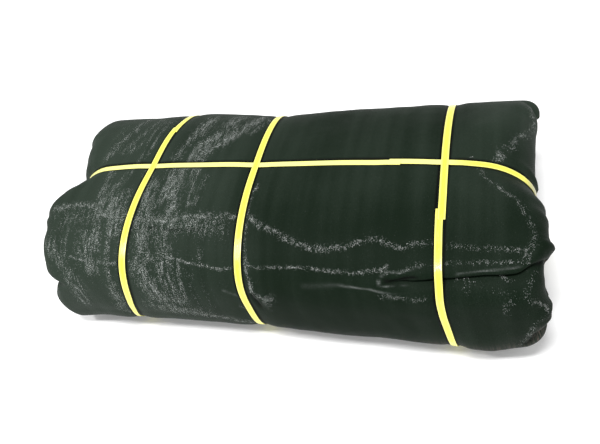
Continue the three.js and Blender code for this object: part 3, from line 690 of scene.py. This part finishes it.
# painted shade: a dark line in the corner beside each strap
beside = np.exp(-(((to_girth - BESIDE_GIRTH[0]) / BESIDE_GIRTH[1]) ** 2))
beside = beside + np.exp(-(((to_long - BESIDE_LONG[0]) / BESIDE_LONG[1]) ** 2))
painted_values["shade"] = np.maximum(painted_values["shade"], np.minimum(1.0, beside))
painted_values["glint"] = painted_values["glint"] * free
face = np.zeros(row_count)
face[:FACE_ROWS] = np.linspace(1.0, 0.0, FACE_ROWS)
face[-FACE_ROWS:] = np.linspace(0.0, 1.0, FACE_ROWS)
painted_values["ends"] = np.broadcast_to(face[:, None], (row_count, columns))
# painted light and shade: the green made paler or darker by place
pale = np.zeros((row_count, columns))
for amount, slopes in PAINTED_LIGHT_PARTS:
    for axis, start, run in slopes:
        amount = amount * ease((points[..., axis] - start) / run)
    pale = pale + amount
painted_values["pale"] = pale

bpy.ops.object.select_all(action="DESELECT")
bpy.ops.mesh.primitive_grid_add(x_subdivisions=columns - 1, y_subdivisions=row_count - 1, size=1.0)
netting = bpy.context.object
netting.name = "netting_bale"
mesh = netting.data
shifted = points + (*FRAME_SHIFT, 0.0)
shifted[..., 2] = np.maximum(0.0, shifted[..., 2])
mesh.vertices.foreach_set("co", (shifted / MM_IN_METRE).ravel())
flat_places = np.stack([along, around], axis=-1).reshape(-1, 2) / MM_IN_METRE
corner = np.empty(len(mesh.loops), int)
mesh.loops.foreach_get("vertex_index", corner)
mesh.uv_layers.active.data.foreach_set("uv", flat_places[corner].ravel())
for name, values in painted_values.items():
    layer = mesh.attributes.new(name, "FLOAT", "POINT")
    layer.data.foreach_set("value", np.ascontiguousarray(values).ravel())
mesh.update()
bpy.ops.object.mode_set(mode="EDIT")
bpy.ops.mesh.select_all(action="SELECT")
bpy.ops.mesh.remove_doubles(threshold=WELD)
bpy.ops.mesh.normals_make_consistent(inside=False)
bpy.ops.object.mode_set(mode="OBJECT")
bpy.ops.object.shade_smooth()


def add_node(tree, kind, inputs=None, **settings):
    """A shader node with its settings, its inputs plain values or the outputs that feed them."""
    new_node = tree.nodes.new(kind)
    for key, value in settings.items():
        setattr(new_node, key, value)
    for key, value in (inputs or {}).items():
        if isinstance(value, bpy.types.NodeSocket):
            tree.links.new(value, new_node.inputs[key])
        else:
            new_node.inputs[key].default_value = value
    return new_node


def sum_of(tree, how, *values):
    return add_node(tree, "ShaderNodeMath", dict(enumerate(values)), operation=how).outputs[0]


def plus(tree, first, second):
    return sum_of(tree, "ADD", first, second)


def times(tree, first, second):
    return sum_of(tree, "MULTIPLY", first, second)


def greater(tree, first, second):
    return sum_of(tree, "MAXIMUM", first, second)


def steep(tree, value, low, high):
    """A value made 0 up to low and 1 from high on."""
    limits = {"Value": value, "From Min": low, "From Max": high}
    return add_node(tree, "ShaderNodeMapRange", limits, clamp=True).outputs[0]


def between(tree, share, low, high):
    return add_node(tree, "ShaderNodeMapRange", {"Value": share, "To Min": low, "To Max": high}).outputs[0]


def blend_colours(tree, share, first, second):
    mix = add_node(tree, "ShaderNodeMix", {"Factor": share}, data_type="RGBA")
    for socket, value in ((mix.inputs[6], first), (mix.inputs[7], second)):
        if isinstance(value, bpy.types.NodeSocket):
            tree.links.new(value, socket)
        else:
            socket.default_value = (*value, 1.0)
    return mix.outputs[2]


def painted(tree, name):
    return add_node(tree, "ShaderNodeAttribute", attribute_name=name).outputs["Fac"]


def stretched(tree, surface, scale):
    return add_node(tree, "ShaderNodeMapping", {"Vector": surface, "Scale": scale}).outputs[0]


def new_group(name, inputs, outputs):
    """A node group with its named inputs and outputs, and what its input node gives."""
    group = bpy.data.node_groups.new(name, "ShaderNodeTree")
    for socket, kind in inputs:
        group.interface.new_socket(socket, in_out="INPUT", socket_type=kind)
    for socket in outputs:
        group.interface.new_socket(socket, in_out="OUTPUT", socket_type="NodeSocketFloat")
    return group, add_node(group, "NodeGroupInput").outputs


# Uneven grain on both plastics: stretched grain, and the same grain steepened to streaks. It places the
# wear on the straps, and the tone, bumps and painted glints on the netting
NUMBER, PLACE = "NodeSocketFloat", "NodeSocketVector"
streaked_grain, given = new_group(
    "streaked_grain",
    (
        ("Surface", PLACE), ("Along", NUMBER), ("Round", NUMBER), ("Detail", NUMBER),
        ("Roughness", NUMBER), ("Start", NUMBER), ("Full", NUMBER),
    ),
    ("Grain", "Streaks"),
)
streak_scale = add_node(
    streaked_grain, "ShaderNodeCombineXYZ", {0: given["Along"], 1: given["Round"], 2: 1.0},
).outputs[0]
streak_grain = add_node(
    streaked_grain, "ShaderNodeTexNoise",
    {
        "Vector": stretched(streaked_grain, given["Surface"], streak_scale), "Scale": 1.0,
        "Detail": given["Detail"], "Roughness": given["Roughness"],
    },
    noise_dimensions="2D",
).outputs["Fac"]
streak_steep = steep(streaked_grain, streak_grain, given["Start"], given["Full"])
add_node(streaked_grain, "NodeGroupOutput", {"Grain": streak_grain, "Streaks": streak_steep})

# Raised rows on both plastics: round tapes on the netting, embossed ribs on the straps
raised_rows, given = new_group("raised_rows", (("Place", NUMBER), ("Rows", NUMBER)), ("Height",))
row_turn = times(raised_rows, given["Place"], times(raised_rows, given["Rows"], math.pi))
row_height = sum_of(raised_rows, "ABSOLUTE", sum_of(raised_rows, "SINE", row_turn))
add_node(raised_rows, "NodeGroupOutput", {"Height": row_height})


def grain_and_streaks(tree, surface, look):
    """Grain and streaks of one look: sizes along and round in metres, detail, roughness, limits."""
    along_size, round_size, detail, rough, start, full = look
    return add_node(
        tree, "ShaderNodeGroup",
        {
            "Surface": surface, "Along": 1 / along_size, "Round": 1 / round_size, "Detail": detail,
            "Roughness": rough, "Start": start, "Full": full,
        },
        node_tree=streaked_grain,
    ).outputs


def rows_of(tree, place, rows):
    given = {"Place": place, "Rows": rows}
    return add_node(tree, "ShaderNodeGroup", given, node_tree=raised_rows).outputs[0]


TAPE = 0.0026
GLINT_WIDE = 0.0024
GLINT_TALL = 0.0042
GREEN_DARK = (0.0034, 0.0086, 0.0040)
GREEN_LIGHT = (0.0325, 0.0455, 0.0345)
GREY_GLINT = (0.60, 0.62, 0.605)
# colour of the painted highlight along the edges of folds
EDGE_HIGHLIGHT = (0.19, 0.205, 0.195)
BROWN_EDGE = (0.062, 0.052, 0.043)
# colour of the painted shade along grooves and beside the straps
PAINTED_SHADE = (0.001, 0.0012, 0.001)
CLUMPS = (0.009, 0.012, 2.0, 0.5, 0.36, 0.66)
GIRTH_STREAKS = (0.011, 0.28, 3.0, 0.65, 0.40, 0.62)
SCUFF_GLINT_STREAKS = (0.007, 0.035, 3.0, 0.6, 0.36, 0.62)
LAYER_LINES = (0.0028, 0.06, 2.0, 0.6, 0.46, 0.62)
BROAD_PATCHES = (0.16, 0.22, 3.0, 0.5, 0.0, 1.0)
GIRTH_BANDS = (0.028, 0.9, 2.0, 0.5, 0.0, 1.0)
CRINKLES = (0.018, 0.024, 3.0, 0.55, 0.0, 1.0)
# Shares of tapes that shine: in clumps and all over, on lines, rubbed and scuffed parts
LINE_CLUMPS, LINE_ALL = 0.8, 0.2
RUBBED_GLINT_CLUMPS, RUBBED_GLINT_ALL = 0.5, 0.4
SCUFFED_GLINT_ALL = 0.90
STRAY_ALL = 0.016
SHARE_SHINING = 0.45
SHINE_STEEP = 14.0
SHINE_STRONG, SHINE_WEAK = 0.8, 0.2
# What makes the green paler: patches, bands, the tape's own tone, and wear with painted sheen where tapes
# glint
TONE_PATCHES, TONE_BANDS, TONE_TAPE, TONE_WEAR_AND_SHEEN = 0.45, 0.35, 0.26, 0.10
TONE_DARK, TONE_LIGHT = 0.28, 1.32
ENDS_BROWN = 0.75
EDGE_TAPES, EDGE_ALL = 0.85, 0.12
GREEN_ROUGH, GLINT_ROUGH = 0.60, 0.40
GREEN_SHEEN = 0.05
WEAVE_HIGH = 0.22
GREEN_BUMP = {"Strength": 0.5, "Distance": 0.0012}

green = bpy.data.materials.new("green_netting")
green.use_nodes = True
tree = green.node_tree
shader = tree.nodes["Principled BSDF"]
cloth_uv = add_node(tree, "ShaderNodeUVMap", uv_map=mesh.uv_layers.active.name).outputs[0]
split = add_node(tree, "ShaderNodeSeparateXYZ", {0: cloth_uv}).outputs

# Plain weave: tapes over and under each other
over_long, over_round = rows_of(tree, split[0], 1 / TAPE), rows_of(tree, split[1], 1 / TAPE)
which = add_node(tree, "ShaderNodeTexChecker", {"Vector": cloth_uv, "Scale": 1 / TAPE}).outputs["Fac"]
weave = add_node(tree, "ShaderNodeMix", {"Factor": which, 2: over_long, 3: over_round}).outputs[0]

# Tapes that catch the light: cells of the weave taken at random, more of them where it is rubbed
cell_places = stretched(tree, cloth_uv, (1 / GLINT_WIDE, 1 / GLINT_TALL, 1.0))
cells = add_node(
    tree, "ShaderNodeTexVoronoi", {"Vector": cell_places, "Randomness": 1.0}, voronoi_dimensions="2D",
)
lot = add_node(tree, "ShaderNodeSeparateColor", {0: cells.outputs["Color"]}).outputs
clumps = grain_and_streaks(tree, cloth_uv, CLUMPS)["Streaks"]
line_share = plus(tree, times(tree, clumps, LINE_CLUMPS), LINE_ALL)
amount_line = times(tree, painted(tree, "glint"), line_share)
# painted glints: more tapes shine over the rubbed streaks and the scuffed patches
rubbed_glint_share = plus(tree, times(tree, clumps, RUBBED_GLINT_CLUMPS), RUBBED_GLINT_ALL)
rubbed_glint_share = times(tree, grain_and_streaks(tree, cloth_uv, GIRTH_STREAKS)["Streaks"], rubbed_glint_share)
amount_rubbed_glints = times(tree, painted(tree, "rubbed_glints"), rubbed_glint_share)
scuffed_glint_share = times(tree, grain_and_streaks(tree, cloth_uv, SCUFF_GLINT_STREAKS)["Streaks"], SCUFFED_GLINT_ALL)
amount_scuffed_glints = times(tree, painted(tree, "scuffed_glints"), scuffed_glint_share)
amount = greater(tree, greater(tree, amount_line, amount_rubbed_glints), amount_scuffed_glints)
amount = plus(tree, amount, STRAY_ALL)
over = sum_of(tree, "SUBTRACT", plus(tree, lot[0], times(tree, amount, SHARE_SHINING)), 1.0)
shining = steep(tree, times(tree, over, SHINE_STEEP), 0.0, 1.0)
strength = plus(tree, times(tree, sum_of(tree, "POWER", lot[1], 2.0), SHINE_STRONG), SHINE_WEAK)
shining = times(tree, shining, strength)

patches = times(tree, grain_and_streaks(tree, cloth_uv, BROAD_PATCHES)["Grain"], TONE_PATCHES)
bands = times(tree, grain_and_streaks(tree, cloth_uv, GIRTH_BANDS)["Grain"], TONE_BANDS)
# the painted light and shade joins the tone here
tone = plus(tree, plus(tree, patches, bands), painted(tree, "pale"))
tone = plus(tree, tone, times(tree, lot[2], TONE_TAPE))
# painted sheen: the green a little paler where more tapes glint
tone = plus(tree, tone, times(tree, amount, TONE_WEAR_AND_SHEEN))
cloth = blend_colours(tree, steep(tree, tone, TONE_DARK, TONE_LIGHT), GREEN_DARK, GREEN_LIGHT)
at_end = times(tree, steep(tree, painted(tree, "ends"), 0.02, 0.12), ENDS_BROWN)
at_end = greater(tree, at_end, painted(tree, "brown"))
at_end = times(tree, at_end, grain_and_streaks(tree, cloth_uv, LAYER_LINES)["Streaks"])
cloth = blend_colours(tree, at_end, cloth, BROWN_EDGE)
cloth = blend_colours(tree, shining, cloth, GREY_GLINT)
# painted highlight along the edges of folds
edge_tapes = plus(tree, times(tree, lot[0], EDGE_TAPES), EDGE_ALL)
cloth = blend_colours(tree, times(tree, painted(tree, "crest"), edge_tapes), cloth, EDGE_HIGHLIGHT)
# painted shade along the grooves and beside the straps
cloth = blend_colours(tree, painted(tree, "shade"), cloth, PAINTED_SHADE)
tree.links.new(cloth, shader.inputs["Base Color"])
tree.links.new(between(tree, shining, GREEN_ROUGH, GLINT_ROUGH), shader.inputs["Roughness"])
shader.inputs["Specular IOR Level"].default_value = GREEN_SHEEN
height = plus(tree, times(tree, weave, WEAVE_HIGH), grain_and_streaks(tree, cloth_uv, CRINKLES)["Grain"])
bump = add_node(tree, "ShaderNodeBump", {**GREEN_BUMP, "Height": height}).outputs[0]
tree.links.new(bump, shader.inputs["Normal"])
netting.data.materials.append(green)
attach(netting, "root")
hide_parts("netting")

# The four straps: flat bright yellow plastic strapping, three pieces round the girth and one
# lengthwise under them. Each is pulled tight and its ends are welded in a short lap, a little
# out of line.
STRAP_STEP = 4.5
STRAP_ACROSS = 4
STRAP_SOFT_EDGE = 0.25
STRAP_CORNER = math.radians(50)
STRAP_SMOOTH = math.radians(40)
LAP_LONG = 23.0
LAP_RISE = 1.0
LAP_SLIDE = 2.3
LONG_SLIDE = -2.0
LAP_FADE = 170.0
LAP_CLEAR = 2.0
LAP_SETTLE = 30.0
# Of each girth strap: where its lap is round the bale, and how much it narrows as it turns at
# its foot
GIRTH_LAP = (63.0, 14.0, 117.0)
FOOT_TWIST = (0.42, 0.10, 0.06)
TWIST_TOP = 150.0
TWIST_RUN = 120.0
LONG_LAP_X = 238.0
# The girth straps press the long one down
PRESSED = 2.3
PRESSED_FADE = 42.0
# A paler stretch of the long strap, and painted shade on its right end where it turns down
PALER_STRETCH = {"most": 0.55, "to": 400.0, "run": 80.0, "from": -520.0, "first": 60.0}
SHADED_END = {"most": 0.85, "from": 470.0, "run": 20.0}

LEMON_DEEP = (0.86, 0.81, 0.058)
LEMON_PALE = (0.90, 0.89, 0.42)
LEMON_WORN = (0.72, 0.66, 0.16)
# colour of the painted shade on the long strap's right end
LEMON_SHADE = (0.20, 0.185, 0.04)
STRAP_SCUFFS = (0.021, 0.35, 4.0, 0.7, 0.56, 0.74)
SCUFFS_SHOW = 0.35
EDGE_FROM, EDGE_TO, EDGE_PALE = 0.20, 0.48, 0.36
RIB_APART = 0.0016
RIBS_ACROSS = 7.0
LEMON_SMOOTH, LEMON_ROUGH = 0.20, 0.34
LEMON_SHEEN = 0.85
LEMON_BUMP = {"Strength": 0.4, "Distance": 0.0002}

lemon = bpy.data.materials.new("lemon_strap")
lemon.use_nodes = True
tree = lemon.node_tree
shader = tree.nodes["Principled BSDF"]
strap_uv = add_node(tree, "ShaderNodeUVMap").outputs[0]
split = add_node(tree, "ShaderNodeSeparateXYZ", {0: strap_uv}).outputs
from_middle = sum_of(tree, "ABSOLUTE", sum_of(tree, "SUBTRACT", split[1], 0.5))
edge_pale = times(tree, steep(tree, from_middle, EDGE_FROM, EDGE_TO), EDGE_PALE)
edge_pale = greater(tree, edge_pale, painted(tree, "pale"))
scuffs = grain_and_streaks(tree, strap_uv, STRAP_SCUFFS)["Streaks"]
yellow = blend_colours(tree, edge_pale, LEMON_DEEP, LEMON_PALE)
yellow = blend_colours(tree, times(tree, scuffs, SCUFFS_SHOW), yellow, LEMON_WORN)
# painted shade on the long strap's right end, where it turns down
yellow = blend_colours(tree, steep(tree, painted(tree, "end_shade"), 0.0, 1.0), yellow, LEMON_SHADE)
tree.links.new(yellow, shader.inputs["Base Color"])
tree.links.new(between(tree, scuffs, LEMON_SMOOTH, LEMON_ROUGH), shader.inputs["Roughness"])
shader.inputs["Specular IOR Level"].default_value = LEMON_SHEEN
ribs, grooves = rows_of(tree, split[0], 1 / RIB_APART), rows_of(tree, split[1], RIBS_ACROSS)
bump = add_node(tree, "ShaderNodeBump", {**LEMON_BUMP, "Height": times(tree, ribs, grooves)}).outputs[0]
tree.links.new(bump, shader.inputs["Normal"])


def strap(name, left, right, outs, joint, node, slide_by, pale, end_shade):
    """A strap round a closed path, given by its two edges, from one end of its lap to the other."""
    ring = np.concatenate([left, right, outs, pale[:, None], end_shade[:, None]], axis=1)
    ring = np.vstack([ring, ring[:1]])
    middle = (ring[:, 0:3] + ring[:, 3:6]) / 2
    sums = np.concatenate([[0.0], np.cumsum(np.linalg.norm(np.diff(middle, axis=0), axis=1))])
    total = sums[-1]
    start = np.interp(joint, np.arange(len(sums)), sums) - LAP_LONG / 2
    count = int(round((total + LAP_LONG) / STRAP_STEP))
    length = np.linspace(0.0, total + LAP_LONG, count + 1)
    at = np.mod(start + length, total)
    stops = np.stack([np.interp(at, sums, ring[:, k]) for k in range(11)], axis=1)
    from_left, from_right, out = stops[:, 0:3], stops[:, 3:6], stops[:, 6:9]
    out = out / np.linalg.norm(out, axis=1, keepdims=True)
    to_end = length[-1] - length
    slide = slide_by * (1.0 - ease((to_end - LAP_LONG) / LAP_FADE))
    slide = slide - slide_by * (1.0 - ease((length - LAP_LONG) / LAP_FADE))
    lift = SEAT + STRAP_THICK / 2
    lift = lift + LAP_RISE * (1.0 - ease((to_end - LAP_LONG - LAP_CLEAR) / LAP_SETTLE))
    sides = (from_right - from_left) / STRAP_WIDTH
    bpy.ops.object.select_all(action="DESELECT")
    bpy.ops.mesh.primitive_grid_add(x_subdivisions=STRAP_ACROSS, y_subdivisions=count, size=1.0)
    piece = bpy.context.object
    piece.name = name
    mesh = piece.data
    share = np.linspace(0.0, 1.0, STRAP_ACROSS + 1)
    places = from_left[:, None] * (1.0 - share)[:, None] + from_right[:, None] * share[:, None]
    places = places + (out * lift[:, None] + sides * slide[:, None])[:, None]
    places = (places + (*FRAME_SHIFT, 0.0)) / MM_IN_METRE
    mesh.vertices.foreach_set("co", places.ravel())
    flat = np.stack(np.broadcast_arrays(length[:, None] / MM_IN_METRE, share[None, :]), axis=-1)
    loops = np.empty(len(mesh.loops), int)
    mesh.loops.foreach_get("vertex_index", loops)
    mesh.uv_layers.active.data.foreach_set("uv", flat.reshape(-1, 2)[loops].ravel())
    for colour_name, column in (("pale", 9), ("end_shade", 10)):
        values = np.repeat(stops[:, column], STRAP_ACROSS + 1)
        mesh.attributes.new(colour_name, "FLOAT", "POINT").data.foreach_set("value", values)
    mesh.update()
    thick = piece.modifiers.new("thick", "SOLIDIFY")
    thick.thickness = STRAP_THICK / MM_IN_METRE
    thick.offset = 0.0
    bpy.ops.object.modifier_apply(modifier=thick.name)
    soft = piece.modifiers.new("soft_edges", "BEVEL")
    soft.width = STRAP_SOFT_EDGE / MM_IN_METRE
    soft.segments = 2
    soft.limit_method = "ANGLE"
    soft.angle_limit = STRAP_CORNER
    bpy.ops.object.modifier_apply(modifier=soft.name)
    bpy.ops.object.mode_set(mode="EDIT")
    bpy.ops.mesh.select_all(action="SELECT")
    bpy.ops.mesh.normals_make_consistent(inside=False)
    bpy.ops.object.mode_set(mode="OBJECT")
    bpy.ops.object.shade_smooth_by_angle(angle=STRAP_SMOOTH)
    piece.data.materials.append(lemon)
    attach(piece, "root")
    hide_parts(node)


def outward(path, first, second, centre):
    """Ways out of a closed path lying in the plane of two axes."""
    step = np.roll(path, -1, axis=0) - np.roll(path, 1, axis=0)
    out = np.zeros_like(path)
    out[:, first], out[:, second] = step[:, second], -step[:, first]
    away = out[:, first] * (path[:, first] - centre[0]) + out[:, second] * (path[:, second] - centre[1])
    out[away < 0] *= -1.0
    return out / np.linalg.norm(out, axis=1, keepdims=True)


def girth_ring(x):
    places = skin(home_row, is_upper, np.full(columns, x), np.zeros(columns), taut=True)
    return np.stack(places, axis=1)[:-1]


for at, lap, twist, side in zip(GIRTH_AT, GIRTH_LAP, FOOT_TWIST, ("left", "middle", "right")):
    left, right = girth_ring(at - STRAP_WIDTH / 2), girth_ring(at + STRAP_WIDTH / 2)
    foot = ease((TWIST_TOP - left[:, 2]) / TWIST_RUN) * ease((LONG_Y - left[:, 1]) / FOOT_RUN)
    right = right + (left - right) * (twist * foot)[:, None]
    outs = outward(girth_ring(at), 1, 2, (MID_Y, MID_Z))
    joint = top_column + np.interp(lap, upper_homes, np.arange(len(upper_homes)))
    plain = np.zeros(len(outs))
    strap(f"girth_strap_{side}", left, right, outs, joint, f"strap_girth_{side}", LAP_SLIDE, plain, plain)

# The long strap lies on the netting as it was shaped, lifted over the furrows of the girth straps
high_part = points[:, top_column:top_column + len(upper_homes)]
low_part = points[:, :top_column + 1]
over = np.array([[np.interp(-LONG_Y, -row[:, 1], row[:, k]) for k in range(3)] for row in high_part])
under = np.array([[np.interp(LONG_Y, row[:, 1], row[:, k]) for k in range(3)] for row in low_part])
path = np.vstack([over, under[::-1]])
path[:, 1] = LONG_Y
top_part = np.arange(len(path)) < len(over)
reach_now = girth_reach(path[:, 0])
own_dent = DENT_DEEP * np.exp(-((np.maximum(0.0, reach_now - DENT_FLAT) / DENT_FADE) ** 2))
wide_dip = PRESSED * np.exp(-((reach_now / PRESSED_FADE) ** 2))
path[:, 2] += np.where(top_part, own_dent - wide_dip, 0.0)
half_width = np.array((0.0, STRAP_WIDTH / 2, 0.0))
joint = np.interp(LONG_LAP_X, over[:, 0], np.arange(len(over)))
paler_stretch = PALER_STRETCH["most"] * ease((PALER_STRETCH["to"] - path[:, 0]) / PALER_STRETCH["run"])
paler_stretch = paler_stretch * ease((path[:, 0] - PALER_STRETCH["from"]) / PALER_STRETCH["first"])
# painted shade where the long strap turns down at its right end
end_shade = SHADED_END["most"] * ease((path[:, 0] - SHADED_END["from"]) / SHADED_END["run"])
outs = outward(path, 0, 2, (0, MID_Z))
edges = path - half_width, path + half_width
strap("long_strap", *edges, outs, joint, "strap_long", LONG_SLIDE, paler_stretch, end_shade)
